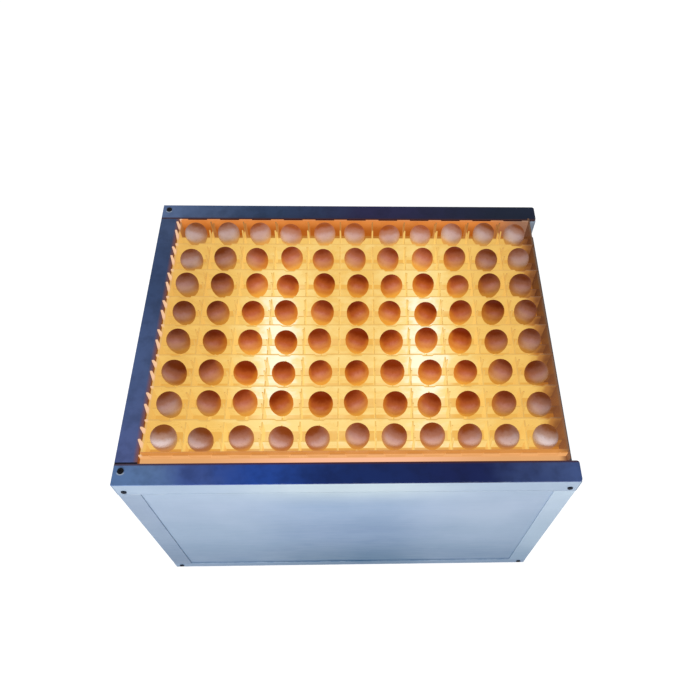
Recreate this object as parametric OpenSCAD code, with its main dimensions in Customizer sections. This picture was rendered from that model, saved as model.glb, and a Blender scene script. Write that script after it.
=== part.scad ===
// Egg candling lamp: a table-top light box with a U of guide rails round its top.
// A moulded tray of eggs slides in from the open right end and stands on a lit plate.
// Millimetres, +Z up, front at -Y, open end at +X, origin under the middle of the housing.

/* [Egg tray] */
// Distance between the centres of neighbouring eggs
cell_pitch = 56; // [50:1:62]
// Eggs from left to right
egg_columns = 11; // [8:1:12]
// Eggs from front to back
egg_rows = 8; // [6:1:9]
// Thickness of the tray's moulded walls and ribs
tray_wall = 2; // [1.6:0.1:2.6]
// Thickness of the tray's left and right end walls
end_wall = 3; // [2:0.5:4]
// Height of the walls between columns, below their prongs
column_wall_h = 34; // [32:1:38]
// Height of the prongs' tips
prong_h = 54; // [46:1:58]
// Distance between the two prongs beside an egg
prong_gap = 19; // [15:1:23]
// Width of a prong at its root
prong_root = 8; // [6:0.5:10]
// Width of a prong at its tip
prong_tip = 1.8; // [1:0.2:3]
// Height of the walls between rows
row_wall_h = 40; // [36:1:44]
// Depth of the dip in an inner row wall at each egg
dip_depth = 4; // [2:1:8]
// Width of the dip in an inner row wall at each egg
dip_w = 20; // [14:1:26]
// Depth of the dips in the tray's front and back walls
outer_dip_depth = 9; // [5:1:12]
// Width of the dips in the tray's front and back walls
outer_dip_w = 34; // [26:1:40]
// Height of the ribs that cradle the eggs
seat_rib_h = 23; // [16:1:25]
// Width of the rim along the tray's front and back
rim_w = 8; // [6:1:12]
// Height of the rim along the tray's front and back
rim_h = 29; // [26:0.5:31]
// Height of the plain wall at the tray's right end
end_wall_h = 38; // [34:1:44]

/* [Eggs] */
// Greatest width of an egg
egg_d = 37.5; // [34:0.5:42]
// Length of an egg
egg_l = 49; // [44:0.5:54]
// Height of an egg's lower end above the tray's underside
egg_lift = 6; // [5:0.5:8]
// Radius of an egg's lower end
egg_tip_r = 11.5; // [9:0.5:13]

/* [Rails] */
// Width of the guide rails and corner posts
rail_w = 32; // [26:1:36]
// Height of the rails' tops above the lit plate
rail_rise = 32; // [28:1:40]
// Thickness of the dark strips on the rails
cap_t = 3; // [2:0.5:4]
// Corner radius at the ends of the long strips
cap_corner_r = 4; // [2:0.5:8]
// Gap between the tray and the front and back rails
tray_gap = 1.25; // [1:0.25:3]
// Gap between the tray and the left rail
left_gap = 3; // [2:0.5:6]
// How far the tray stops short of the open end
end_inset = 14; // [6:1:18]

/* [Housing] */
// Height of the lamp, from the feet to the rail tops
lamp_h = 440; // [380:5:500]
// Wall of the frame's tubes
tube_wall = 1.5; // [1:0.25:2.5]
// Radius on the tubes' long edges
edge_r = 1.2; // [0.6:0.2:2]
// Height of the bottom rails
bottom_rail_h = 20; // [16:1:30]
// Thickness of the side panels
panel_t = 3; // [2:0.5:4]
// How far the panels lie behind the frame's faces
panel_recess = 2; // [1.5:0.5:4]
// How deep the panels' edges sit in the posts
panel_bite = 5; // [4:0.5:7]
// Thickness of the base sheet
base_t = 1.5; // [1:0.25:3]
// Thickness of the lit plate
plate_t = 5; // [4:0.5:8]
// Thickness of the ledge strips under the plate
ledge_t = 2; // [1.5:0.5:3]
// How far the ledge strips reach under the plate
ledge_reach = 12; // [8:1:18]
// Width of the strip that keeps the plate in at the open end
stop_w = 4; // [3:0.5:6]

/* [Lamps] */
// Distance between the two lamp tubes
lamp_spacing = 230; // [180:5:280]
// Depth of the lamp tubes' axes below the plate
lamp_drop = 100; // [80:5:140]
// Outside diameter of a lamp tube
tube_d = 26; // [22:1:28]
// Wall of a lamp tube
tube_glass = 1; // [0.8:0.1:1.5]
// Length of the metal cap on each end of a tube
tube_cap_l = 16; // [12:1:20]
// Thickness of a lampholder
holder_t = 12; // [10:1:16]
// Gap between a lampholder and the rail behind it
holder_end_gap = 4.8; // [2:0.2:8]
// Width of the channel under each tube
batten_w = 40; // [34:1:50]
// Height of the channel under each tube
batten_h = 22; // [18:1:30]
// Sheet thickness of the channel
batten_t = 1; // [0.8:0.1:1.5]
// Height of a tube's axis above its channel
tube_rise = 30; // [24:1:36]
// Distance between light-emitting chips
led_pitch = 16; // [12:1:24]

/* [Power] */
// Distance of the mains inlet from the housing's right end
inlet_from_end = 125; // [80:5:140]
// Distance of the rocker switch from the housing's right end
switch_from_end = 185; // [180:5:220]
// Height of the inlet and the switch
power_z = 95; // [70:5:120]
// Tilt of the rocker either side of level
rocker_tilt = 11; // [8:1:14]

/* [Feet] */
// Height of the rubber feet
foot_h = 10; // [8:1:16]
// Diameter of a foot where it meets the base
foot_d = 28; // [22:1:29]
// Distance of the feet from the housing's ends
foot_inset = 40; // [24:1:60]

/* [Hidden] */
$fn = 48;
eps = 0.01;
slip = 0.2;          // clearance between pieces that are put together and stay
run_gap = 0.05;      // radial clearance of the rocker's pivot
seat_gap = 0.3;      // gap between an egg and the ribs that carry it
strip_gap = 0.6;     // gap between the dark strips at the left corners
slide_gap = 0.3;     // gap under the tray, which slides

tray_w = egg_columns * cell_pitch + 2 * end_wall;
tray_d = egg_rows * cell_pitch + 2 * rim_w;
box_w = rail_w + left_gap + tray_w + end_inset;
box_d = tray_d + 2 * (tray_gap + rail_w);
left_x = -box_w / 2;
right_x = box_w / 2;
front_y = -box_d / 2;
back_y = box_d / 2;
inner_y = back_y - rail_w;                 // inside faces of the back rail and posts
grid_x = left_x + rail_w + left_gap + tray_w / 2;

plate_top = lamp_h - rail_rise;
plate_low = plate_top - plate_t;
ledge_low = plate_low - ledge_t;
rail_top = lamp_h - cap_t;
rail_h = rail_top - plate_low;
bottom_low = foot_h + base_t;
bottom_top = bottom_low + bottom_rail_h;
cross_h = rail_w;                          // height of the bar under the open end
tray_low = plate_top + slide_gap;

plug_t = 2;                                // flange of the plugs in the tubes' ends
plug_l = 20;                               // length of the plugs inside the tubes
screw_r = 1.8;                             // frame screws
screw_head_r = 4;
screw_head_t = 1.8;
screw_inset = 12;                          // from the housing's ends
screw_drop = 26;                           // below the rail tops
cap_screw_r = 4.6;
cap_screw_t = 1.2;
cap_screw_inset = 11;                      // from the left end
cap_screw_front = 21;                      // from the front, for the front strip's screw
cap_screw_back = 11;                       // from the back, for the back strip's screw
hex_r = 2;                                 // socket in a screw's head

tube_l = 2 * (inner_y - holder_t - holder_end_gap);
tube_cap_d = tube_d + 1;
feed_inset = 6;                            // from the tube's end to the wires' hole
feed_y = tube_l / 2 - feed_inset;          // hole for the wires in a channel's top
feed_rise = 8;                             // height of the wires' way into a lampholder
feed_r = 3;
tube_z = plate_low - lamp_drop;
batten_top = tube_z - tube_rise;
bar_top = batten_top - batten_h;           // top of the bars that carry the channels
bar_leg = 20;
bar_t = 2;
bar_end_gap = 8;                           // keeps the bars clear of the side panels
bar_l = box_w - 2 * bar_end_gap;
batten_end_gap = 1;
batten_l = 2 * (inner_y - batten_end_gap);
pin_r = 1.2;
pin_l = 7;
pin_space = 12.7;
board_w = 12;
board_t = 1.6;
chip_w = 3.5;
chip_t = 0.8;
holder_w = 28;
lamp_x = [grid_x - lamp_spacing / 2, grid_x + lamp_spacing / 2];
bar_screw_shift = 2;                       // from the middle of a post
bar_screw_x = right_x - rail_w / 2 - bar_screw_shift;
bar_screw_bite = 6;                        // length of a bar's screw in the post
bar_screw_l = bar_t + bar_screw_bite;
small_head_r = 3.5;                        // heads of the screws of bars and channels
small_head_t = 2;
small_screw_end = 3;                       // length of a channel's screw above the lip
lip = batten_w / 3;                        // inward folds along a channel's lower edges
batten_screw_x = batten_w / 2 - lip / 2;

panel_face = back_y - panel_recess;        // outside of the back panel
inlet_x = right_x - inlet_from_end;
switch_x = right_x - switch_from_end;
panel_inner = panel_face - panel_t;
inlet_w = 27;
inlet_h = 20;
inlet_deep = 22;
socket_w = 24;
socket_h = 16;
socket_deep = 17;
flange_w = 50;
flange_h = 26;
flange_t = 2.5;
inlet_screw_x = 20;
inlet_screw_r = 1.4;
inlet_screw_l = 8;
inlet_head_r = 2.6;
inlet_head_t = 1.2;
flange_r = 4;                              // corners of the inlet's flange
blade_x = 7;                               // outer blades from the socket's middle
blade_drop = 2;                            // outer blades below the socket's middle
earth_rise = 3;                            // middle blade above the socket's middle
blade_t = 2;
blade_w = 4;
blade_sink = 3;                            // blades' ends below the panel's face
switch_w = 12.8;
switch_h = 19.2;
switch_deep = 15;
bezel_w = 15.5;
bezel_h = 22;
bezel_t = 2;
bezel_r = 1.5;                             // corners of the switch's bezel
switch_floor = 3;                          // bottom of the switch's body
spade_z = 5;                               // switch's tabs above and below its middle
rocker_w = 10;
rocker_r = 8.3;
rocker_reach = 9;
rocker_peak = 6.6;                         // height of the V's ends above the pivot
rocker_dip = 4;                            // height of the V's middle above the pivot
rocker_foot = 5;
rocker_deep = 5.5;
rocker_pit = 10.8;
rocker_slot = 17.4;
pivot_n = -1.5;                            // pivot's place behind the panel's face
pivot_r = 1.2;
pivot_l = 12.2;
tab_w = 4.8;
tab_t = 0.8;
tab_l = 7;
block_from_end = 245;                      // terminal block on the base sheet
block_from_back = 85;
block_x = right_x - block_from_end;
block_y = inner_y - block_from_back;
stud_from_inlet = 30;                      // earth stud on the base sheet
stud_from_back = 60;
stud_x = inlet_x + stud_from_inlet;
stud_y = inner_y - stud_from_back;
stud_r = 2;
stud_h = 12;
nut_r = 4.4;
nut_h = 5;
block_w = 46;
block_d = 22;
block_h = 17;
pole_x = 14;                               // outer poles from the block's middle
pole_r = 2.5;
pole_deep = 5;
lamp_pole_x = 10;                          // wires of the lamps from the block's middle
wire_d = 2.6;
wire_ball_d = wire_d + 0.2;                // balls at the wires' bends
wire_step = 6;                             // between wires that run side by side
wire_lift = 4;                             // wires' middle above the base sheet
tab_y = panel_face - inlet_deep - tab_l;   // ends of the inlet's blades
spade_y = panel_face - switch_deep - tab_l; // ends of the switch's tabs
block_back = block_y + block_d / 2;
block_front = block_y - block_d / 2;
floor_z = bottom_low + wire_lift;          // height of the wires along the base
foot_margin = 1;                           // from a foot's edge to the housing's face
foot_y = back_y - foot_margin - foot_d / 2;
foot_taper = 4;
foot_low_d = foot_d - foot_taper;
foot_sink = 5;                             // depth of the screw's recess in a foot
foot_screw_r = 2;
foot_head_r = 4.2;
foot_head_t = 2;
dip_slope = 3;                             // run of the sloped sides of a row wall's dip
egg_r = egg_d / 2;
egg_low = egg_l - egg_r;                   // from an egg's widest place to its lower end
egg_drop = egg_low - egg_tip_r;            // from the widest place to the tip arc's centre
egg_side_r = (egg_r * egg_r + egg_drop * egg_drop - egg_tip_r * egg_tip_r) / (2 * (egg_r - egg_tip_r));

body_grey = [0.70, 0.76, 0.84];
panel_grey = [0.62, 0.70, 0.80];
rail_navy = [0.20, 0.24, 0.38];
tray_amber = [0.95, 0.73, 0.38];
shell_brown = [0.66, 0.40, 0.27];
lamp_white = [0.95, 0.93, 0.88];
dark = [0.10, 0.10, 0.12];
steel = [0.60, 0.62, 0.65];

// Rectangle with rounded corners, from a corner at the origin
module rounded_rect(w, h, r) {
  translate([r, 0]) square([w - 2 * r, h]);
  translate([0, r]) square([w, h - 2 * r]);
  for (x = [r, w - r], y = [r, h - r]) translate([x, y]) circle(r);
}

// Hollow rectangular tube along X, w deep in Y and h high in Z
module tube_x(length, w, h) {
  rotate([90, 0, 90]) linear_extrude(length) difference() {
    rounded_rect(w, h, edge_r);
    translate([tube_wall, tube_wall]) square([w - 2 * tube_wall, h - 2 * tube_wall]);
  }
}

// The same tube along Y
module tube_y(length, w, h) {
  rotate([90, 0, 180]) linear_extrude(length) translate([-w, 0]) difference() {
    rounded_rect(w, h, edge_r);
    translate([tube_wall, tube_wall]) square([w - 2 * tube_wall, h - 2 * tube_wall]);
  }
}

// Places of the frame screws along a front or back face
function screw_spots() = [
  for (x = [left_x + screw_inset, right_x - screw_inset])
    for (z = [lamp_h - screw_drop, bottom_low + bottom_rail_h / 2]) [x, z]
];

// Holes for the frame screws through the outer wall of a front or back rail
module screw_holes() {
  for (s = screw_spots()) translate([s[0], front_y - eps, s[1]])
    rotate([-90, 0, 0]) cylinder(h = tube_wall + 1, r = screw_r + slip);
}

// Full-length rail with its ends left open for the plugs
module long_rail(low, h) {
  difference() {
    translate([left_x + plug_t, front_y, low]) tube_x(box_w - 2 * plug_t, rail_w, h);
    screw_holes();
  }
}

// Hole for the dark screw at the left end of a long rail
module cap_screw_hole(y, low) {
  translate([left_x + cap_screw_inset, y, low]) cylinder(h = cap_t + rail_w, r = screw_r + slip);
}

function cap_screw_y() = [front_y + cap_screw_front, back_y - cap_screw_back];

module front_rail() {
  color(body_grey) difference() {
    long_rail(plate_low, rail_h);
    cap_screw_hole(cap_screw_y()[0], rail_top - 2 * tube_wall);
  }
}

module back_rail() {
  color(body_grey) difference() {
    mirror([0, 1, 0]) long_rail(plate_low, rail_h);
    cap_screw_hole(cap_screw_y()[1], rail_top - 2 * tube_wall);
  }
}

module left_rail() {
  color(body_grey) translate([left_x, -inner_y, plate_low]) tube_y(2 * inner_y, rail_w, rail_h);
}

module right_crossbar() {
  color(body_grey) translate([right_x - rail_w, -inner_y, ledge_low - cross_h])
    tube_y(2 * inner_y, rail_w, cross_h);
}

// Section of a corner post: hollow, with a groove in each inner side for a panel's edge.
// The housing's corner is at the origin.
module post_section() {
  core = panel_recess + panel_t + 2 * slip + tube_wall;
  groove = panel_t + 2 * slip;
  difference() {
    rounded_rect(rail_w, rail_w, edge_r);
    translate([core, core]) square(rail_w - core - panel_bite - 2 * tube_wall);
    translate([rail_w - panel_bite - slip, panel_recess - slip]) square([panel_bite + 1, groove]);
    translate([panel_recess - slip, rail_w - panel_bite - slip]) square([groove, panel_bite + 1]);
  }
}

// Corner post, with a hole in its inner face for the screw of a lamp bar
module post(x_side, y_side) {
  color(body_grey) mirror([x_side > 0 ? 1 : 0, 0, 0]) mirror([0, y_side > 0 ? 1 : 0, 0]) difference() {
    translate([left_x, front_y, bottom_top]) linear_extrude(ledge_low - bottom_top) post_section();
    translate([-bar_screw_x, -inner_y + 1, bar_top - bar_leg / 2])
      rotate([90, 0, 0]) cylinder(h = rail_w / 2, r = screw_r + run_gap);
  }
}

module bottom_front_rail() { color(body_grey) long_rail(bottom_low, bottom_rail_h); }
module bottom_back_rail() { color(body_grey) mirror([0, 1, 0]) long_rail(bottom_low, bottom_rail_h); }

module bottom_side_rail(x) {
  color(body_grey) translate([x, -inner_y, bottom_low]) tube_y(2 * inner_y, rail_w, bottom_rail_h);
}

// Dark strip on a long rail, square at the left corner and rounded at the open end
module long_cap() {
  difference() {
    translate([left_x, front_y, rail_top]) linear_extrude(cap_t) {
      square([box_w - cap_corner_r, rail_w]);
      translate([0, cap_corner_r]) square([box_w, rail_w - 2 * cap_corner_r]);
      for (y = [cap_corner_r, rail_w - cap_corner_r])
        translate([box_w - cap_corner_r, y]) circle(cap_corner_r);
    }
    children();
  }
}

module front_cap_strip() {
  color(rail_navy) long_cap() cap_screw_hole(cap_screw_y()[0], rail_top - 1);
}

module back_cap_strip() {
  color(rail_navy) mirror([0, 1, 0]) long_cap() cap_screw_hole(-cap_screw_y()[1], rail_top - 1);
}

module left_cap_strip() {
  color(rail_navy) translate([left_x, -inner_y + strip_gap, rail_top])
    cube([rail_w, 2 * (inner_y - strip_gap), cap_t]);
}

// Plug in the open end of a tube of height h: a flange outside and a spigot inside
module end_plug(low, h, screw_z) {
  fit = tube_wall + slip;
  difference() {
    union() {
      translate([left_x, front_y, low]) rotate([90, 0, 90]) linear_extrude(plug_t)
        rounded_rect(rail_w, h, edge_r);
      translate([left_x + plug_t - eps, front_y + fit, low + fit])
        cube([plug_l, rail_w - 2 * fit, h - 2 * fit]);
    }
    translate([left_x + screw_inset, front_y, screw_z])
      rotate([-90, 0, 0]) cylinder(h = rail_w / 2, r = screw_r + run_gap);
  }
}

// Plug in the end of a top rail; the ones at the left also take a dark screw from above
module top_plug() { end_plug(plate_low, rail_h, lamp_h - screw_drop); }

module rail_end_plugs() {
  color(dark) {
    for (mx = [0, 1], my = [0, 1]) mirror([mx, 0, 0]) mirror([0, my, 0])
      end_plug(bottom_low, bottom_rail_h, bottom_low + bottom_rail_h / 2);
    for (my = [0, 1]) mirror([1, 0, 0]) mirror([0, my, 0]) top_plug();
    for (my = [0, 1]) difference() {
      mirror([0, my, 0]) top_plug();
      cap_screw_hole(cap_screw_y()[my], rail_top - rail_w / 2);
    }
  }
}

module long_ledge() {
  translate([left_x, front_y, ledge_low]) cube([box_w, rail_w + ledge_reach, ledge_t]);
}
module front_ledge() { color(body_grey) long_ledge(); }
module back_ledge() { color(body_grey) mirror([0, 1, 0]) long_ledge(); }

module side_ledge() {
  translate([left_x, -inner_y + ledge_reach, ledge_low])
    cube([rail_w + ledge_reach, 2 * (inner_y - ledge_reach), ledge_t]);
}
module left_ledge() { color(body_grey) side_ledge(); }
module right_ledge() { color(body_grey) mirror([1, 0, 0]) side_ledge(); }

module plate_stop() {
  color(body_grey) translate([right_x - stop_w, -inner_y + ledge_reach, plate_low])
    cube([stop_w, 2 * (inner_y - ledge_reach), plate_t - slip]);
}

module lit_plate() {
  color(lamp_white) translate([left_x + rail_w + slip, -inner_y + slip, plate_low])
    cube([box_w - rail_w - stop_w - 2 * slip, 2 * (inner_y - slip), plate_t]);
}

// Upright panel whose side edges stand in the grooves of two posts
module panel_front(top) {
  translate([left_x + rail_w - panel_bite, front_y + panel_recess, bottom_top + slip])
    cube([box_w - 2 * (rail_w - panel_bite), panel_t, top - bottom_top - 2 * slip]);
}

module panel_side(top) {
  translate([left_x + panel_recess, -inner_y - panel_bite, bottom_top + slip])
    cube([panel_t, 2 * (inner_y + panel_bite), top - bottom_top - 2 * slip]);
}

module front_panel() { color(panel_grey) panel_front(ledge_low); }
module left_panel() { color(panel_grey) panel_side(ledge_low); }
module right_panel() { color(panel_grey) mirror([1, 0, 0]) panel_side(ledge_low - cross_h); }

module back_panel() {
  color(panel_grey) difference() {
    mirror([0, 1, 0]) panel_front(ledge_low);
    translate([inlet_x - inlet_w / 2 - slip, panel_inner - 1, power_z - inlet_h / 2 - slip])
      cube([inlet_w + 2 * slip, panel_t + 2, inlet_h + 2 * slip]);
    translate([switch_x - switch_w / 2 - slip, panel_inner - 1, power_z - switch_h / 2 - slip])
      cube([switch_w + 2 * slip, panel_t + 2, switch_h + 2 * slip]);
    for (s = [-1, 1]) translate([inlet_x + s * inlet_screw_x, panel_inner - 1, power_z])
      rotate([-90, 0, 0]) cylinder(h = panel_t + 2, r = inlet_screw_r + slip);
  }
}

function foot_spots() = [
  for (x = [left_x + foot_inset, right_x - foot_inset], y = [-foot_y, foot_y]) [x, y]
];

module base_sheet() {
  color(body_grey) difference() {
    translate([left_x + slip, front_y + slip, foot_h]) cube([box_w - 2 * slip, box_d - 2 * slip, base_t]);
    for (f = foot_spots()) translate([f[0], f[1], foot_h - 1])
      cylinder(h = base_t + 2, r = foot_screw_r + slip);
  }
}

// Angle bar across the housing, behind the posts, that carries the ends of the lamp channels
module lamp_bar() {
  difference() {
    union() {
      translate([-bar_l / 2, -inner_y, bar_top - bar_t]) cube([bar_l, bar_leg, bar_t]);
      translate([-bar_l / 2, -inner_y, bar_top - bar_leg]) cube([bar_l, bar_t, bar_leg]);
    }
    for (s = [-1, 1]) translate([s * bar_screw_x, -inner_y - 1, bar_top - bar_leg / 2])
      rotate([-90, 0, 0]) cylinder(h = bar_t + 2, r = screw_r + slip);
    for (x = lamp_x, s = [-1, 1])
      translate([x + s * batten_screw_x, -inner_y + bar_leg / 2, bar_top - bar_t - 1])
        cylinder(h = bar_t + 2, r = screw_r + slip);
  }
}
module front_lamp_bar() { color(steel) lamp_bar(); }
module back_lamp_bar() { color(steel) mirror([0, 1, 0]) lamp_bar(); }

// Folded channel that stands on the two bars, flanges down, and carries one lamp
module batten(x) {
  color(lamp_white) difference() {
    translate([x, batten_l / 2, bar_top]) rotate([90, 0, 0]) linear_extrude(batten_l) {
      translate([-batten_w / 2, batten_h - batten_t]) square([batten_w, batten_t]);
      for (s = [0, 1]) mirror([s, 0]) translate([-batten_w / 2, 0]) {
        square([batten_t, batten_h]);
        square([lip, batten_t]);
      }
    }
    translate([x, feed_y, batten_top - 2 * batten_t]) cylinder(h = 3 * batten_t, r = feed_r);
    for (s = [-1, 1], e = [-1, 1])
      translate([x + s * batten_screw_x, e * (inner_y - bar_leg / 2), bar_top - 1])
        cylinder(h = batten_t + 2, r = screw_r + run_gap);
  }
}

// Lampholder with two blind holes for a tube's pins
module lampholder(x, y_side) {
  holder_y = tube_l / 2;
  color(lamp_white) difference() {
    translate([x, y_side * holder_y, batten_top]) mirror([0, y_side > 0 ? 1 : 0, 0])
      rotate([90, 0, 0]) linear_extrude(holder_t) {
        translate([-holder_w / 2, 0]) square([holder_w, tube_rise]);
        translate([0, tube_rise]) circle(holder_w / 2 - eps);
      }
    for (s = [-1, 1]) translate([x + s * pin_space / 2, y_side * (holder_y - 1), tube_z])
      rotate([-90 * y_side, 0, 0]) cylinder(h = pin_l + 2, r = pin_r + slip);
  }
}
module lampholders() { for (x = lamp_x, s = [-1, 1]) lampholder(x, s); }

module lamp_tube(x) {
  glass_l = tube_l - 2 * tube_cap_l;
  color(lamp_white) translate([x, -glass_l / 2, tube_z]) rotate([-90, 0, 0]) difference() {
    cylinder(h = glass_l, d = tube_d);
    translate([0, 0, -1]) cylinder(h = glass_l + 2, d = tube_d - 2 * tube_glass);
  }
}

// End cap of a tube with its two contact pins
module tube_cap(x, y_side) {
  color(steel) translate([x, y_side * (tube_l / 2 - tube_cap_l), tube_z]) rotate([-90 * y_side, 0, 0]) {
    cylinder(h = tube_cap_l - slip, d = tube_cap_d);
    for (s = [-1, 1]) translate([s * pin_space / 2, 0, tube_cap_l - slip - eps])
      cylinder(h = pin_l, r = pin_r);
  }
}
module tube_caps() { for (x = lamp_x, s = [-1, 1]) tube_cap(x, s); }

module led_boards() {
  board_l = tube_l - 2 * tube_cap_l;
  for (x = lamp_x) color(steel) translate([x - board_w / 2, -board_l / 2, tube_z - board_t])
    cube([board_w, board_l, board_t]);
}

module led_chips() {
  run = tube_l - 2 * tube_cap_l - led_pitch;
  count = floor(run / led_pitch);
  for (x = lamp_x, i = [0 : count])
    color(lamp_white) translate([x - chip_w / 2, (i - count / 2) * led_pitch - chip_w / 2, tube_z])
      cube([chip_w, chip_w, chip_t]);
}

// Mains inlet: a flange on the back panel, a body through it and an open socket
module power_inlet() {
  color(dark) difference() {
    union() {
      translate([inlet_x - flange_w / 2, panel_face + flange_t, power_z - flange_h / 2])
        rotate([90, 0, 0]) linear_extrude(flange_t) rounded_rect(flange_w, flange_h, flange_r);
      translate([inlet_x - inlet_w / 2, panel_face - inlet_deep, power_z - inlet_h / 2])
        cube([inlet_w, inlet_deep + eps, inlet_h]);
    }
    translate([inlet_x, panel_face + flange_t + 1, power_z]) rotate([90, 0, 0])
      linear_extrude(socket_deep + 1) polygon([
        [-socket_w / 2, -socket_h / 2], [socket_w / 2, -socket_h / 2], [socket_w / 2, socket_h / 4],
        [socket_w / 4, socket_h / 2], [-socket_w / 4, socket_h / 2], [-socket_w / 2, socket_h / 4]
      ]);
    for (s = [-1, 1]) translate([inlet_x + s * inlet_screw_x, panel_face - 1, power_z])
      rotate([-90, 0, 0]) cylinder(h = flange_t + 2, r = inlet_screw_r + slip);
    blades(run_gap, panel_face - inlet_deep - 1, inlet_deep);
  }
}

// Places of the inlet's three blades, from the middle of the socket
function pin_spots() = [[-blade_x, -blade_drop], [blade_x, -blade_drop], [0, earth_rise]];

// The three blades, or with a gap the slots they stand in, from y_low towards the back
module blades(gap, y_low, length) {
  for (p = pin_spots()) translate([inlet_x + p[0], y_low + length / 2, power_z + p[1]])
    cube([blade_t + 2 * gap, length, blade_w + 2 * gap], center = true);
}

module inlet_pins() { color(steel) blades(0, tab_y, inlet_deep + tab_l - blade_sink); }

// Outline of the rocker seen along its pivot: a shallow V cut from a round
module rocker_outline() {
  intersection() {
    circle(rocker_r);
    polygon([
      [-rocker_reach, rocker_peak], [0, rocker_dip], [rocker_reach, rocker_peak], [rocker_reach, 0],
      [rocker_foot, -rocker_deep], [-rocker_foot, -rocker_deep], [-rocker_reach, 0]
    ]);
  }
}

module switch_body() {
  pit_y = panel_face - switch_deep + switch_floor;
  color(dark) difference() {
    union() {
      translate([switch_x - bezel_w / 2, panel_face + bezel_t, power_z - bezel_h / 2])
        rotate([90, 0, 0]) linear_extrude(bezel_t) rounded_rect(bezel_w, bezel_h, bezel_r);
      translate([switch_x - switch_w / 2, panel_face - switch_deep, power_z - switch_h / 2])
        cube([switch_w, switch_deep + eps, switch_h]);
      for (s = [-1, 1]) translate([switch_x - tab_t / 2, spade_y, power_z + s * spade_z - tab_w / 2])
        cube([tab_t, tab_l + 1, tab_w]);
    }
    translate([switch_x - rocker_pit / 2, pit_y, power_z - rocker_slot / 2])
      cube([rocker_pit, switch_deep + bezel_t, rocker_slot]);
    translate([switch_x - switch_w / 2 - 1, panel_face + pivot_n, power_z])
      rotate([0, 90, 0]) cylinder(h = switch_w + 2, r = pivot_r + run_gap);
  }
}

module switch_rocker() {
  color(dark) translate([switch_x, panel_face + pivot_n, power_z]) {
    rotate([-rocker_tilt, 0, 0]) rotate([90, 0, 90]) translate([0, 0, -rocker_w / 2])
      linear_extrude(rocker_w) rotate(-90) rocker_outline();
    translate([-pivot_l / 2, 0, 0]) rotate([0, 90, 0]) cylinder(h = pivot_l, r = pivot_r);
  }
}

module terminal_block() {
  color(lamp_white) translate([block_x, block_y, bottom_low]) difference() {
    translate([-block_w / 2, -block_d / 2, 0]) cube([block_w, block_d, block_h]);
    for (i = [-1, 0, 1], s = [-1, 1])
      translate([i * pole_x, s * block_d / 4, block_h - pole_deep]) cylinder(h = pole_deep + 1, r = pole_r);
  }
}

// Stud with a nut on the base sheet, for the earth wire
module earth_stud() {
  color(steel) translate([stud_x, stud_y, bottom_low]) {
    cylinder(h = stud_h, r = stud_r);
    cylinder(h = nut_h, r = nut_r, $fn = 6);
  }
}

// Round wire through a list of points, with a ball at each bend
module wire(points) {
  for (i = [0 : len(points) - 2]) {
    run = points[i + 1] - points[i];
    translate(points[i]) rotate([0, acos(run[2] / norm(run)), atan2(run[1], run[0])])
      cylinder(h = norm(run), d = wire_d, $fn = 24);
  }
  for (i = [1 : len(points) - 2]) translate(points[i]) sphere(d = wire_ball_d, $fn = 24);
}

// From the inlet's blades to the switch, the terminal block and the earth stud
module inlet_wires() {
  hot_x = inlet_x - blade_x;
  cold_x = inlet_x + blade_x;
  hot_y = tab_y - 3 * wire_step;
  cold_y = tab_y - 2 * wire_step;
  earth_y = tab_y - wire_step;
  blade_z = power_z - blade_drop;
  top_z = power_z + spade_z;
  earth_z = power_z + earth_rise;
  nut_z = floor_z + wire_step;
  color("brown") wire([[hot_x, tab_y, blade_z], [hot_x, hot_y, blade_z], [hot_x, hot_y, top_z],
    [switch_x, hot_y, top_z], [switch_x, spade_y, top_z]]);
  color("steelblue") wire([[cold_x, tab_y, blade_z], [cold_x, cold_y, blade_z], [cold_x, cold_y, floor_z],
    [block_x + pole_x, cold_y, floor_z], [block_x + pole_x, block_back, floor_z]]);
  color("green") wire([[inlet_x, tab_y, earth_z], [inlet_x, earth_y, earth_z], [stud_x, earth_y, earth_z],
    [stud_x, earth_y, nut_z], [stud_x, stud_y + stud_r, nut_z]]);
}

// From the switch to the terminal block
module switch_wires() {
  live_y = spade_y - 5 * wire_step;
  tab_z = power_z - spade_z;
  low_z = floor_z + 1.5 * wire_step;
  color("brown") wire([[switch_x, spade_y, tab_z], [switch_x, live_y, tab_z], [switch_x, live_y, low_z],
    [block_x - pole_x, live_y, low_z], [block_x - pole_x, block_back, low_z]]);
}

// From the terminal block up into each channel and out to a lampholder
module lamp_wires() {
  inside_z = batten_top - batten_t - wire_d;
  for (i = [0, 1]) {
    start_x = block_x + (2 * i - 1) * lamp_pole_x;
    cross_y = block_front - (3 + 2.5 * i) * wire_step;
    plug_z = batten_top + feed_rise;
    color("white") wire([[start_x, block_front, floor_z], [start_x, cross_y, floor_z],
      [lamp_x[i], cross_y, floor_z], [lamp_x[i], cross_y, inside_z], [lamp_x[i], feed_y, inside_z],
      [lamp_x[i], feed_y, plug_z], [lamp_x[i], tube_l / 2, plug_z]]);
  }
}

// Screw with a hexagon socket, head upwards, its seat at the origin
module socket_screw(head_r, head_t, shank_l) {
  color(dark) {
    difference() {
      cylinder(h = head_t, r = head_r);
      translate([0, 0, head_t / 3]) cylinder(h = head_t, r = hex_r, $fn = 6);
    }
    translate([0, 0, -shank_l]) cylinder(h = shank_l + eps, r = screw_r);
  }
}

// Screw with a plain round head, head upwards, its seat at the origin
module plain_screw(head_r, head_t, shank_r, shank_l) {
  color(steel) {
    cylinder(h = head_t, r = head_r);
    translate([0, 0, -shank_l]) cylinder(h = shank_l + eps, r = shank_r);
  }
}

module cap_screws() {
  for (y = cap_screw_y()) translate([left_x + cap_screw_inset, y, lamp_h])
    socket_screw(cap_screw_r, cap_screw_t, rail_w / 2);
}

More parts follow.
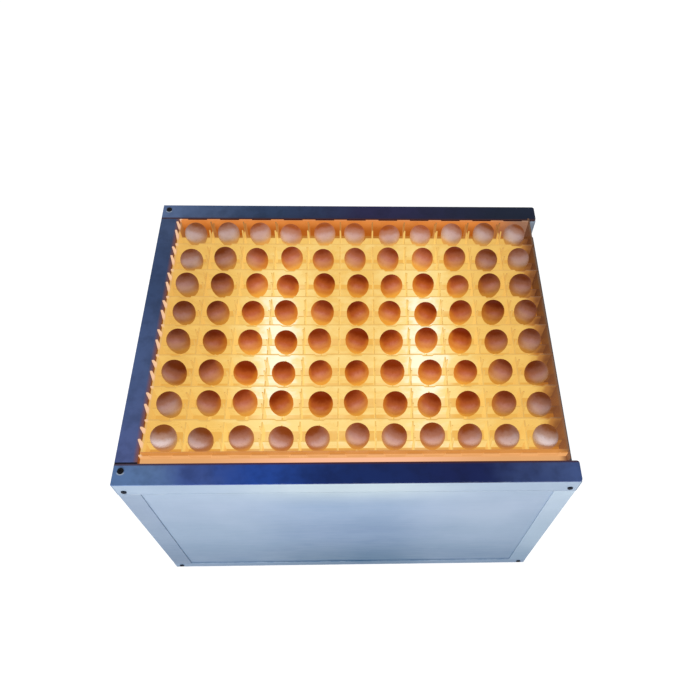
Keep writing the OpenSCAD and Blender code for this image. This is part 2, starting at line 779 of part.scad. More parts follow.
module frame_screws() {
  for (m = [0, 1], s = screw_spots()) mirror([0, m, 0]) translate([s[0], front_y, s[1]])
    rotate([90, 0, 0]) socket_screw(screw_head_r, screw_head_t, rail_w / 3);
}

module inlet_screws() {
  for (s = [-1, 1]) translate([inlet_x + s * inlet_screw_x, panel_face + flange_t, power_z])
    rotate([-90, 0, 0]) plain_screw(inlet_head_r, inlet_head_t, inlet_screw_r, inlet_screw_l);
}

module bar_screws() {
  for (m = [0, 1], s = [-1, 1]) mirror([0, m, 0])
    translate([s * bar_screw_x, -inner_y + bar_t, bar_top - bar_leg / 2])
      rotate([-90, 0, 0]) plain_screw(small_head_r, small_head_t, screw_r, bar_screw_l);
}

module batten_screws() {
  for (m = [0, 1], x = lamp_x, s = [-1, 1]) mirror([0, m, 0])
    translate([x + s * batten_screw_x, -inner_y + bar_leg / 2, bar_top - bar_t])
      mirror([0, 0, 1])
        plain_screw(small_head_r, small_head_t, screw_r, bar_t + batten_t + small_screw_end);
}

module rubber_feet() {
  for (f = foot_spots()) color(dark) translate([f[0], f[1], 0]) difference() {
    cylinder(h = foot_h, d1 = foot_low_d, d2 = foot_d);
    translate([0, 0, -1]) cylinder(h = foot_sink + 1, r = foot_head_r + 1);
    cylinder(h = foot_h + 1, r = foot_screw_r + slip);
  }
}

module foot_screws() {
  for (f = foot_spots()) color(steel) translate([f[0], f[1], foot_sink]) {
    translate([0, 0, -foot_head_t]) cylinder(h = foot_head_t, r = foot_head_r);
    cylinder(h = foot_h - foot_sink + base_t, r = foot_screw_r);
  }
}

function row_y(i) = (i - (egg_rows - 1) / 2) * cell_pitch;
function column_x(i) = grid_x + (i - (egg_columns - 1) / 2) * cell_pitch;

// Top edge of a column wall past one egg, as points from back to front
function prong_points(y) = [
  for (s = [1, -1]) let (c = y + s * prong_gap / 2, out = prong_root - prong_tip) each [
    [c + (s > 0 ? out : prong_tip), column_wall_h], [c + prong_tip / 2, prong_h],
    [c - prong_tip / 2, prong_h], [c - (s > 0 ? prong_tip : out), column_wall_h]
  ]
];

// Wall between two columns: low in the rim, with a pair of prongs beside each egg
module column_wall_outline() {
  reach = egg_rows * cell_pitch / 2;
  polygon(concat(
    [[-tray_d / 2, 0], [tray_d / 2, 0], [tray_d / 2, rim_h], [reach, rim_h], [reach, column_wall_h]],
    [for (i = [egg_rows - 1 : -1 : 0]) each prong_points(row_y(i))],
    [[-reach, column_wall_h], [-reach, rim_h], [-tray_d / 2, rim_h]]
  ));
}

// Upright plate across X at x, t thick
module plate_at_x(x, t) {
  translate([x - t / 2, 0, tray_low]) rotate([90, 0, 90]) linear_extrude(t) children();
}

// Upright plate across Y at y, t thick
module plate_at_y(y, t) {
  translate([0, y + t / 2, tray_low]) rotate([90, 0, 0]) linear_extrude(t) children();
}

// Wall between two rows, with a dip w wide and d deep in front of each egg
module row_wall_outline(w, d) {
  half = tray_w / 2;
  polygon(concat(
    [[grid_x - half, row_wall_h], [grid_x - half, 0], [grid_x + half, 0], [grid_x + half, row_wall_h]],
    [for (i = [egg_columns - 1 : -1 : 0]) let (x = column_x(i)) each [
      [x + w / 2, row_wall_h], [x + w / 2 - dip_slope, row_wall_h - d],
      [x - w / 2 + dip_slope, row_wall_h - d], [x - w / 2, row_wall_h]]]
  ));
}

// Hollow for an egg in a rib: an egg's two side arcs and a flat bottom, a little clear of the egg
module seat_hollow() {
  intersection() {
    translate([egg_r - egg_side_r, 0]) circle(egg_side_r + seat_gap);
    translate([egg_side_r - egg_r, 0]) circle(egg_side_r + seat_gap);
    translate([-egg_d, -egg_low - seat_gap]) square([2 * egg_d, egg_l]);
  }
}

// Rib under a line of eggs, hollowed to cradle each one
module seat_rib_outline(spots, low, high) {
  difference() {
    translate([low, 0]) square([high - low, seat_rib_h]);
    for (c = spots) translate([c, egg_lift + egg_low]) seat_hollow();
  }
}

module egg_tray() {
  half_w = tray_w / 2;
  half_d = tray_d / 2;
  color(tray_amber) {
    for (i = [1 : egg_columns - 1])
      plate_at_x(column_x(i) - cell_pitch / 2, tray_wall) column_wall_outline();
    plate_at_x(grid_x - half_w + end_wall / 2, end_wall) column_wall_outline();
    plate_at_x(grid_x + half_w - end_wall / 2, end_wall)
      translate([-half_d, 0]) square([tray_d, end_wall_h]);
    for (i = [1 : egg_rows - 1])
      plate_at_y(row_y(i) - cell_pitch / 2, tray_wall) row_wall_outline(dip_w, dip_depth);
    for (i = [0, egg_rows])
      plate_at_y(row_y(i) - cell_pitch / 2, tray_wall) row_wall_outline(outer_dip_w, outer_dip_depth);
    for (i = [0 : egg_rows - 1]) plate_at_y(row_y(i), tray_wall)
      seat_rib_outline([for (c = [0 : egg_columns - 1]) column_x(c)], grid_x - half_w, grid_x + half_w);
    for (i = [0 : egg_columns - 1]) plate_at_x(column_x(i), tray_wall)
      seat_rib_outline([for (r = [0 : egg_rows - 1]) row_y(r)], -half_d + rim_w, half_d - rim_w);
    for (m = [0, 1]) mirror([0, m, 0]) {
      translate([grid_x - half_w, -half_d, tray_low]) cube([tray_w, tray_wall, rim_h]);
      translate([grid_x - half_w, -half_d, tray_low + rim_h - tray_wall])
        cube([tray_w, rim_w, tray_wall]);
    }
  }
}

// Half outline of an egg, blunt end up, from three arcs that run into each other.
// The widest place is on the X axis.
module egg_outline() {
  join = egg_drop * egg_side_r / (egg_side_r - egg_tip_r);
  intersection() {
    circle(egg_r);
    square(egg_r);
  }
  intersection() {
    translate([egg_r - egg_side_r, 0]) circle(egg_side_r);
    translate([0, -join]) square([egg_r, join]);
  }
  intersection() {
    translate([0, -egg_drop]) circle(egg_tip_r);
    translate([0, -egg_l]) square([egg_r, egg_l - join]);
  }
}

module eggs() {
  color(shell_brown) for (c = [0 : egg_columns - 1], r = [0 : egg_rows - 1])
    translate([column_x(c), row_y(r), tray_low + egg_lift + egg_low])
      rotate_extrude() egg_outline();
}

front_rail();
back_rail();
left_rail();
right_crossbar();
post(-1, -1);  // front_left_post
post(1, -1);  // front_right_post
post(-1, 1);  // back_left_post
post(1, 1);  // back_right_post
bottom_front_rail();
bottom_back_rail();
bottom_side_rail(left_x);  // bottom_left_rail
bottom_side_rail(right_x - rail_w);  // bottom_right_rail
front_cap_strip();
back_cap_strip();
left_cap_strip();
rail_end_plugs();
front_ledge();
back_ledge();
left_ledge();
right_ledge();
plate_stop();
lit_plate();
front_panel();
back_panel();
left_panel();
right_panel();
base_sheet();
front_lamp_bar();
back_lamp_bar();
batten(lamp_x[0]);  // left_batten
batten(lamp_x[1]);  // right_batten
lampholders();
lamp_tube(lamp_x[0]);  // left_tube
lamp_tube(lamp_x[1]);  // right_tube
tube_caps();
led_boards();
led_chips();
power_inlet();
inlet_pins();
switch_body();
switch_rocker();
terminal_block();
earth_stud();
inlet_wires();
switch_wires();
lamp_wires();
cap_screws();
frame_screws();
inlet_screws();
bar_screws();
batten_screws();
rubber_feet();
foot_screws();
egg_tray();
eggs();
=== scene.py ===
import math
import random

import bpy
from mathutils import Matrix, Vector


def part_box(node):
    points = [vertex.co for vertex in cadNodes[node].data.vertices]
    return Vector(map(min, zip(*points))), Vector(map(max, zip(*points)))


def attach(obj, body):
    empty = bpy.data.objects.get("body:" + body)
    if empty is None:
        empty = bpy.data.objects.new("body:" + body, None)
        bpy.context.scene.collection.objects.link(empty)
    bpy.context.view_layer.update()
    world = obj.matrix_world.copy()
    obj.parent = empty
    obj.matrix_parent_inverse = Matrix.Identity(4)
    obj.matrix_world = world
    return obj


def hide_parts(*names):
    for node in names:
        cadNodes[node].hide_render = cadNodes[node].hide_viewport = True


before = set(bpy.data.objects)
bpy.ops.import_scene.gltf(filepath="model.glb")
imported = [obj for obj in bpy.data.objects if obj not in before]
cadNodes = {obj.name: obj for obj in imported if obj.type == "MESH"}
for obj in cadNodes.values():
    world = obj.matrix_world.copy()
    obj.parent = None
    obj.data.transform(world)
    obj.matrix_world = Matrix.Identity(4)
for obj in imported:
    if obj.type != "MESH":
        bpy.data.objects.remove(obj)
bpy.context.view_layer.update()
print("frame loaded,", len(cadNodes), "nodes")

# camera, from the corners of the box and the egg grid in the photograph
photoCamera = {
    "place": (0.0113, -0.6314, 1.3866),
    "tiltDown": 58.14,
    "yaw": -3.98,
    "roll": 3.27,
    "sensorWidth": 36,
    "focalPixels": 701.6,
    "imagePixels": 700.0,
    "shiftPixels": 32.8,   # the photograph is cropped off its middle
    "dropPixels": 1.0,
}


def addCamera():
    tilt, yaw, roll = (math.radians(photoCamera[key]) for key in ("tiltDown", "yaw", "roll"))
    turn = Matrix.Rotation(yaw, 3, "Z")
    right = turn @ Vector((1, 0, 0))
    ahead = turn @ Vector((0, math.cos(tilt), -math.sin(tilt)))
    down = turn @ Vector((0, -math.sin(tilt), -math.cos(tilt)))
    side = math.cos(roll) * right - math.sin(roll) * down
    low = math.sin(roll) * right + math.cos(roll) * down
    bpy.ops.object.camera_add()
    camera = bpy.context.object
    camera.name = "photoCamera"
    camera.matrix_world = Matrix((side, -low, -ahead)).transposed().to_4x4()
    camera.location = photoCamera["place"]
    camera.data.sensor_width = photoCamera["sensorWidth"]
    camera.data.lens = photoCamera["sensorWidth"] * photoCamera["focalPixels"] / photoCamera["imagePixels"]
    camera.data.shift_x = -photoCamera["shiftPixels"] / photoCamera["imagePixels"]
    camera.data.shift_y = photoCamera["dropPixels"] / photoCamera["imagePixels"]
    bpy.context.scene.camera = camera


addCamera()
print("camera placed")


# small helpers for the node trees
def startMaterial(name):
    mat = bpy.data.materials.new(name)
    mat.use_nodes = True
    tree = mat.node_tree
    tree.nodes.clear()
    output = tree.nodes.new("ShaderNodeOutputMaterial")
    shader = tree.nodes.new("ShaderNodeBsdfPrincipled")
    tree.links.new(shader.outputs[0], output.inputs[0])
    return mat, tree, shader


def feed(tree, source, socket):
    if isinstance(source, bpy.types.NodeSocket):
        tree.links.new(source, socket)
    elif isinstance(source, (tuple, list)) and len(source) == 3 and socket.type == "RGBA":
        socket.default_value = (*source, 1)
    else:
        socket.default_value = source


def sums(tree, kind, a, b=0.0, clamp=False):
    node = tree.nodes.new("ShaderNodeMath")
    node.operation = kind
    node.use_clamp = clamp
    feed(tree, a, node.inputs[0])
    feed(tree, b, node.inputs[1])
    return node.outputs[0]


def times(tree, first, *others):
    for value in others:
        first = sums(tree, "MULTIPLY", first, value)
    return first


# two limits of a value, and what it becomes at each
def span(tree, value, low, high, outLow=0.0, outHigh=1.0, soft=True):
    node = tree.nodes.new("ShaderNodeMapRange")
    node.interpolation_type = "SMOOTHSTEP" if soft else "LINEAR"
    node.clamp = True
    for number, socket in zip((value, low, high, outLow, outHigh), node.inputs):
        feed(tree, number, socket)
    return node.outputs[0]


def tint(tree, factor, a, b, kind="MIX"):
    node = tree.nodes.new("ShaderNodeMix")
    node.data_type = "RGBA"
    node.blend_type = kind
    feed(tree, factor, node.inputs[0])
    feed(tree, a, node.inputs[6])
    feed(tree, b, node.inputs[7])
    return node.outputs[2]


def stops(tree, factor, colours):
    node = tree.nodes.new("ShaderNodeValToRGB")
    band = node.color_ramp
    band.interpolation = "EASE"
    while len(band.elements) < len(colours):
        band.elements.new(0.5)
    for element, (place, colour) in zip(band.elements, colours):
        element.position = place
        element.color = (*colour, 1)
    feed(tree, factor, node.inputs[0])
    return node.outputs[0]


def here(tree):
    return tree.nodes.new("ShaderNodeTexCoord").outputs["Object"]


def axes(tree, point):
    node = tree.nodes.new("ShaderNodeSeparateXYZ")
    tree.links.new(point, node.inputs[0])
    return node.outputs[0], node.outputs[1], node.outputs[2]


def facing(tree):
    return axes(tree, tree.nodes.new("ShaderNodeTexCoord").outputs["Normal"])


def stored(tree, name):
    node = tree.nodes.new("ShaderNodeAttribute")
    node.attribute_name = name
    return node.outputs["Fac"]


# noise, by scale, detail and roughness
def grain(tree, point, scale, detail, rough, stretch=(1, 1, 1)):
    mapping = tree.nodes.new("ShaderNodeMapping")
    mapping.inputs["Scale"].default_value = stretch
    tree.links.new(point, mapping.inputs[0])
    node = tree.nodes.new("ShaderNodeTexNoise")
    node.inputs["Scale"].default_value = scale
    node.inputs["Detail"].default_value = detail
    node.inputs["Roughness"].default_value = rough
    tree.links.new(mapping.outputs[0], node.inputs["Vector"])
    return node.outputs[0]


def relief(tree, height, strength, distance):
    node = tree.nodes.new("ShaderNodeBump")
    node.inputs["Strength"].default_value = strength
    node.inputs["Distance"].default_value = distance
    tree.links.new(height, node.inputs["Height"])
    return node.outputs[0]


def shine(tree, shader, colour):
    feed(tree, colour, shader.inputs["Emission Color"])
    shader.inputs["Emission Strength"].default_value = 1.0


# distance to the nearest edge of a box, for wear along edges
def edgeReach(tree, point, low, high):
    gaps = []
    for value, a, b in zip(axes(tree, point), low, high):
        gaps.append(sums(tree, "MINIMUM", sums(tree, "SUBTRACT", value, a), sums(tree, "SUBTRACT", b, value)))
    x, y, z = gaps
    inner = sums(tree, "MINIMUM", sums(tree, "MAXIMUM", x, y), z)
    return sums(tree, "MAXIMUM", sums(tree, "MINIMUM", x, y), inner)


def wear(node, mat):
    cadNodes[node].data.materials.clear()
    cadNodes[node].data.materials.append(mat)


# painted sheet and tube of the housing, darker towards the floor by painted shade and lighter towards the
# ends, with painted light on the posts
housingPaintAndShade = {
    "middle": [(0.10, (0.090, 0.178, 0.300)), (0.48, (0.215, 0.318, 0.500)), (0.76, (0.330, 0.450, 0.645)),
               (0.96, (0.600, 0.715, 0.790))],
    "ends": [(0.10, (0.190, 0.285, 0.430)), (0.48, (0.330, 0.440, 0.600)), (0.76, (0.390, 0.495, 0.660)),
             (0.96, (0.440, 0.555, 0.715))],
    "middleToEnds": (0.03, 0.22),
    "top": 0.440,
    "paintedLight": {"leftPost": (0.84, 0.84, 0.86), "rightPost": (1.32, 1.28, 1.18), "plain": (1.0, 1.0, 1.0)},
    "cloud": (5.5, 4, 0.6),
    "shade": (0.04, 0.11, 0.19),
    "shadeSpan": (0.35, 0.7, 0.0, 0.10),
    "brushed": (60, 2, 0.5, (0.35, 0.35, 6.0)),
    "brushedSpan": (0.3, 0.7, 0.0, 0.07),
    "bareEdge": (0.62, 0.70, 0.78),
    "edgeWidth": 0.0010,
    "rub": (70, 4, 0.7),
    "rubSpan": (0.42, 0.62, 0.0, 0.6),
    # painted shade on the inner faces of the front and back rails and on the plate stop, and a painted amber
    # reflection on the left rail's
    "inside": {"front_rail": (0.055, 0.022, 0.010), "back_rail": (0.055, 0.022, 0.010),
               "left_rail": (0.42, 0.19, 0.065), "plate_stop": (0.055, 0.022, 0.010)},
    "insideFaces": {"front_rail": (1, 1), "back_rail": (1, -1), "left_rail": (0, 1)},   # axis and side
    "insideDepth": (0.0012, 0.0008),
    "insideEnd": (0.300, 0.318, 1.0, 0.0),
    "stopShadeShare": 0.85,
    "roughness": (0.3, 0.7, 0.40, 0.56),
    "metallic": 0.1,
    "specular": 0.2,
    "peel": (900, 2, 0.5),
    "bump": (0.06, 0.0006),
    "nodes": {
        "plain": ("front_rail", "back_rail", "left_rail", "right_crossbar", "bottom_front_rail",
                  "bottom_back_rail", "bottom_left_rail", "bottom_right_rail", "front_ledge", "back_ledge",
                  "left_ledge", "right_ledge", "plate_stop", "base_sheet", "front_panel", "back_panel",
                  "left_panel", "right_panel"),
        "leftPost": ("front_left_post", "back_left_post"),
        "rightPost": ("front_right_post", "back_right_post"),
    },
}


def paintedMetal(node, kind):
    paint = housingPaintAndShade
    low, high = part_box(node)
    mat, tree, shader = startMaterial("paint." + node)
    point = here(tree)
    x, y, z = axes(tree, point)
    cloud = grain(tree, point, *paint["cloud"])
    brushed = grain(tree, point, *paint["brushed"])
    peel = grain(tree, point, *paint["peel"])
    height = span(tree, z, 0.0, paint["top"], soft=False)   # painted shade, darker towards the floor
    toEnds = span(tree, sums(tree, "ABSOLUTE", x), *paint["middleToEnds"])
    base = tint(tree, toEnds, stops(tree, height, paint["middle"]), stops(tree, height, paint["ends"]))
    # painted light: the left posts darker and the right posts lighter than the panels
    base = tint(tree, 1.0, base, paint["paintedLight"][kind], "MULTIPLY")
    base = tint(tree, span(tree, cloud, *paint["shadeSpan"]), base, paint["shade"])
    base = tint(tree, span(tree, brushed, *paint["brushedSpan"]), base, paint["bareEdge"])
    nearEdge = span(tree, edgeReach(tree, point, low, high), 0.0, paint["edgeWidth"], 1.0, 0.0)
    rubbed = times(tree, nearEdge, span(tree, grain(tree, point, *paint["rub"]), *paint["rubSpan"]))
    base = tint(tree, rubbed, base, paint["bareEdge"])
    if node in paint["insideFaces"]:   # painted shade on the walls of the lit well, and a painted amber reflection on the left rail
        axis, way = paint["insideFaces"][node]
        face = (high if way > 0 else low)[axis]
        wellShadeGlowMask = span(tree, (x, y, z)[axis], *(face - way * depth for depth in paint["insideDepth"]))
        wellShadeGlowMask = times(tree, wellShadeGlowMask, span(tree, x, *paint["insideEnd"]))
        base = tint(tree, wellShadeGlowMask, base, paint["inside"][node])
    elif node == "plate_stop":
        # painted shade over the plate stop
        base = tint(tree, paint["stopShadeShare"], base, paint["inside"][node])
    feed(tree, base, shader.inputs["Base Color"])
    feed(tree, span(tree, cloud, *paint["roughness"]), shader.inputs["Roughness"])
    shader.inputs["Metallic"].default_value = paint["metallic"]
    shader.inputs["Specular IOR Level"].default_value = paint["specular"]
    feed(tree, relief(tree, sums(tree, "ADD", peel, brushed), *paint["bump"]), shader.inputs["Normal"])
    return mat


for kind, names in housingPaintAndShade["nodes"].items():
    for name in names:
        wear(name, paintedMetal(name, kind))
print("housing painted")

# dark strips on the rails, with painted reflections that make them paler towards the left corner and uneven
# along them
navyStrip = {
    "front_cap_strip": {
        "along": 0, "innerEdge": (1, 1),   # axis, then axis and side
        "colours": [(0.04, (0.140, 0.255, 0.520)), (0.17, (0.065, 0.120, 0.400)),
                    (0.32, (0.024, 0.085, 0.430)), (0.52, (0.011, 0.032, 0.165)),
                    (0.78, (0.012, 0.022, 0.115)), (0.98, (0.075, 0.125, 0.330))],
    },
    "back_cap_strip": {
        "along": 0, "innerEdge": (1, -1),
        "colours": [(0.0, (0.155, 0.240, 0.460)), (0.26, (0.042, 0.080, 0.180)),
                    (0.55, (0.028, 0.027, 0.100)), (0.95, (0.007, 0.015, 0.042))],
    },
    "left_cap_strip": {
        "along": 1, "innerEdge": (0, 1),
        "colours": [(0.0, (0.110, 0.155, 0.390)), (0.35, (0.090, 0.145, 0.330)),
                    (0.75, (0.055, 0.095, 0.220)), (1.0, (0.075, 0.120, 0.250))],
    },
}
stripWearAndLight = {
    "cloud": (9, 4, 0.6),
    "wander": (0.25, 0.75, -0.06, 0.06),
    "mottle": (34, 3, 0.6),
    "mottleSpan": (0.4, 0.7, 0.0, 0.25),
    "edge": (0.12, 0.16, 0.28),
    "edgeWidth": 0.001,
    "rub": (60, 4, 0.7),
    "rubSpan": (0.48, 0.68, 0.0, 0.7),
    "jointShadowAndMottle": (0.004, 0.005, 0.012),
    "jointShadowReach": (0.0012, 0.0022),
    "shadow": (0.075, 0.027, 0.027),
    "shadowReach": (0.0042, 0.0014),
    "shadowShare": 0.85,
    "warmEdge": (0.30, 0.115, 0.075),
    "warmReach": 0.008,
    "warmShare": 0.8,
    "screwRimHighlight": (0.42, 0.52, 0.68),
    "rimRing": (1.30, 1.55),
    "rimSide": (-0.3, -0.8),
    "roughness": (0.3, 0.7, 0.40, 0.56),
    "specular": 0.10,
    "fine": (300, 2, 0.5, (0.2, 0.2, 1.0)),
    "bump": (0.05, 0.0005),
}


# painted highlight: a pale crescent under each screw's head
def screwHighlights(tree, place):
    low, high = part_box("cap_screws")
    radius = (high[0] - low[0]) / 2
    across = sums(tree, "SUBTRACT", place[0], low[0] + radius)
    parts = []
    for y in (low[1] + radius, high[1] - radius):
        along = sums(tree, "SUBTRACT", place[1], y)
        reach = sums(tree, "SQRT", sums(tree, "ADD", times(tree, across, across), times(tree, along, along)))
        ring = span(tree, reach, *(radius * part for part in stripWearAndLight["rimRing"]), 1.0, 0.0)
        parts.append(times(tree, ring, span(tree, along, *(radius * part for part in stripWearAndLight["rimSide"]))))
    return sums(tree, "MAXIMUM", *parts)


def stripPaint(node):
    strip = navyStrip[node]
    low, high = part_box(node)
    mat, tree, shader = startMaterial("navy." + node)
    point = here(tree)
    place = axes(tree, point)
    cloud = grain(tree, point, *stripWearAndLight["cloud"])
    along = span(tree, place[strip["along"]], low[strip["along"]], high[strip["along"]], soft=False)
    along = sums(tree, "ADD", along, span(tree, cloud, *stripWearAndLight["wander"], soft=False), clamp=True)
    # painted reflections along the strip
    base = stops(tree, along, strip["colours"])
    mottle = span(tree, grain(tree, point, *stripWearAndLight["mottle"]), *stripWearAndLight["mottleSpan"])
    base = tint(tree, mottle, base, stripWearAndLight["jointShadowAndMottle"])
    nearEdge = span(tree, edgeReach(tree, point, low, high), 0.0, stripWearAndLight["edgeWidth"], 1.0, 0.0)
    rubbed = times(tree, nearEdge, span(tree, grain(tree, point, *stripWearAndLight["rub"]), *stripWearAndLight["rubSpan"]))
    base = tint(tree, rubbed, base, stripWearAndLight["edge"])
    side, way = strip["innerEdge"]
    face = (high if way > 0 else low)[side]
    if node == "left_cap_strip":   # amber light from the tray on its inner edge
        warm = span(tree, place[side], face - stripWearAndLight["warmReach"], face, 0.0, stripWearAndLight["warmShare"])
        base = tint(tree, warm, base, stripWearAndLight["warmEdge"])
    else:
        # painted shadow along the inner edge, tinted by a painted warm reflection of the tray
        limits = (face - way * reach for reach in stripWearAndLight["shadowReach"])
        shaded = span(tree, place[side], *limits, 0.0, stripWearAndLight["shadowShare"])
        base = tint(tree, shaded, base, stripWearAndLight["shadow"])
    base = tint(tree, screwHighlights(tree, place), base, stripWearAndLight["screwRimHighlight"])
    if node == "left_cap_strip":   # painted shadow line where it meets the front strip
        limits = (low[1] + reach for reach in stripWearAndLight["jointShadowReach"])
        base = tint(tree, span(tree, place[1], *limits, 1.0, 0.0), base, stripWearAndLight["jointShadowAndMottle"])
    feed(tree, base, shader.inputs["Base Color"])
    feed(tree, span(tree, cloud, *stripWearAndLight["roughness"]), shader.inputs["Roughness"])
    shader.inputs["Specular IOR Level"].default_value = stripWearAndLight["specular"]
    fine = grain(tree, point, *stripWearAndLight["fine"])
    feed(tree, relief(tree, fine, *stripWearAndLight["bump"]), shader.inputs["Normal"])
    return mat


for name in navyStrip:
    wear(name, stripPaint(name))
print("strips painted")

# painted light from the two tubes, as it spreads on the plate, the tray and the eggs, with painted shade at
# the right end, at the back and at the front
lampGlow = {
    "bands": (-0.1190, 0.1215),
    "bandWidth": 0.046,
    "bandLift": 0.20,
    "bandBack": (0.03, 0.19, 1.0, 0.10),
    "bandFront": (-0.04, -0.24, 1.0, 0.10),
    "middle": 0.0105,
    "wide": (0.10, 0.33, 0.74, 0.58),
    "slope": (-0.15, 0.18, 0.02, -0.03),
    "rightShade": (0.284, 0.316, 1.0, 0.35),
    "backShade": (0.198, 0.204),
    "frontShade": (-0.1965, -0.1985),
    "shadeColour": (0.56, 0.205, 0.032),
}


def glowAt(tree, point):
    x, y, z = axes(tree, point)
    parts = []
    for place in lampGlow["bands"]:
        off = sums(tree, "DIVIDE", sums(tree, "SUBTRACT", x, place), lampGlow["bandWidth"])
        parts.append(sums(tree, "EXPONENT", times(tree, off, off, -1.0)))
    band = sums(tree, "MAXIMUM", *parts)
    along = times(tree, span(tree, y, *lampGlow["bandBack"]), span(tree, y, *lampGlow["bandFront"]))
    across = sums(tree, "ABSOLUTE", sums(tree, "SUBTRACT", x, lampGlow["middle"]))
    wide = sums(tree, "ADD", span(tree, across, *lampGlow["wide"]), span(tree, y, *lampGlow["slope"]))
    both = sums(tree, "ADD", wide, times(tree, band, along, lampGlow["bandLift"]))
    return times(tree, both, span(tree, x, *lampGlow["rightShade"])), (x, y, z)


litPlate = {
    "glow": [(0.0, (0.10, 0.030, 0.006)), (0.25, (0.38, 0.13, 0.018)), (0.50, (0.62, 0.31, 0.060)),
             (0.72, (0.76, 0.42, 0.085)), (0.88, (0.94, 0.70, 0.30)), (1.0, (1.0, 0.90, 0.62))],
    "base": ((0.11, 0.070, 0.035), (0.08, 0.050, 0.025)),
    "cloud": (14, 3, 0.6),
    "cloudSpan": (0.3, 0.7, -0.05, 0.05),
    "backLevel": 0.45,
    "frontShare": 0.55,
    "roughness": (0.3, 0.7, 0.35, 0.5),
}


def plateLight():
    mat, tree, shader = startMaterial("opalPlate")
    point = here(tree)
    glow, place = glowAt(tree, point)
    cloud = grain(tree, point, *litPlate["cloud"])
    # painted glow of the plate, with painted shade behind the back rib and in front of the front rib
    level = sums(tree, "ADD", glow, span(tree, cloud, *litPlate["cloudSpan"]))
    level = times(tree, level, span(tree, place[1], *lampGlow["backShade"], 1.0, litPlate["backLevel"]))
    colour = stops(tree, level, litPlate["glow"])
    shaded = span(tree, place[1], *lampGlow["frontShade"], 0.0, litPlate["frontShare"])
    shine(tree, shader, tint(tree, shaded, colour, lampGlow["shadeColour"]))
    feed(tree, tint(tree, cloud, *litPlate["base"]), shader.inputs["Base Color"])
    feed(tree, span(tree, cloud, *litPlate["roughness"]), shader.inputs["Roughness"])
    return mat


wear("lit_plate", plateLight())

# painted glow and shade of the tray, by place on its walls, prongs, ribs and flanges
amberTray = {
    "glow": [(0.0, (0.05, 0.016, 0.005)), (0.20, (0.15, 0.050, 0.018)), (0.38, (0.40, 0.17, 0.040)),
             (0.55, (0.66, 0.38, 0.088)), (0.72, (0.79, 0.51, 0.135)), (0.86, (0.88, 0.68, 0.26)),
             (0.98, (0.98, 0.92, 0.68))],
    "base": ((0.12, 0.070, 0.030), (0.09, 0.050, 0.020)),
    "cloud": (40, 3, 0.6),
    "cloudSpan": (0.3, 0.7, -0.035, 0.035),
    "roughness": (0.3, 0.7, 0.24, 0.38),
    "specular": 0.3,
    "bump": (0.08, 0.0006),
    "pitch": 0.056,
    "firstRow": -0.224,
    "upward": (0.7, 0.95),
    "aboveFloor": (0.412, 0.416),
    "forward": (-0.5, -0.9),
    "sideways": (0.5, 0.9),
    "forwardLift": 0.05,
    "ribGap": (0.0255, 0.0268),
    "ribDrop": 0.02,
    "sideLevel": 0.70,
    "sideShare": 0.92,
    "backLevel": 0.55,
    "prongHeight": (0.4420, 0.4432),
    "prongGap": (0.008, 0.011),
    "prongShade": 0.86,
    "frontLift": (-0.165, -0.195, 0.0, 0.07),
    "lowHeight": (0.436, 0.422),
    "lowShare": 0.45,
    "frontPlace": (-0.2224, -0.2228),
    "wallPlace": (-0.2254, -0.2250),
    "frontFlangeGlow": ((0.90, 0.47, 0.30), (0.69, 0.340, 0.130)),   # middle and ends
    "flangeEnds": (0.04, 0.24),
    "flangeRight": (0.306, 0.320),
    "frontWallGlowAndShade": ((0.70, 0.330, 0.120), (0.52, 0.185, 0.028)),   # lower and upper part
    "tabBlend": (0.4476, 0.4486),
    "backPlace": (0.2222, 0.2228),
    "backWallGlow": ((0.40, 0.092, 0.008), (0.66, 0.205, 0.040)),
    "backHeight": (0.418, 0.444),
    "backShadeFade": (0.235, 0.312, 0.0, 0.9),   # painted shade: the back wall darkens towards its right end
    "backEndShade": (0.24, 0.135, 0.095),
    "rightPlace": (0.3178, 0.3183),
    "rightEndShade": ((0.06, 0.019, 0.008), (0.16, 0.058, 0.025)),   # back and front
    "rightDepth": (0.10, -0.20),
    "toothGlow": (0.80, 0.50, 0.32),
    "toothHeight": (0.440, 0.450),
    "toothPlace": (-0.294, -0.298),
}


# distance from the nearest wall of a row
def wallGap(tree, value):
    pitch = amberTray["pitch"]
    rows = sums(tree, "DIVIDE", sums(tree, "SUBTRACT", value, amberTray["firstRow"]), pitch)
    part = sums(tree, "FRACT", rows)
    return times(tree, sums(tree, "MINIMUM", part, sums(tree, "SUBTRACT", 1.0, part)), pitch)


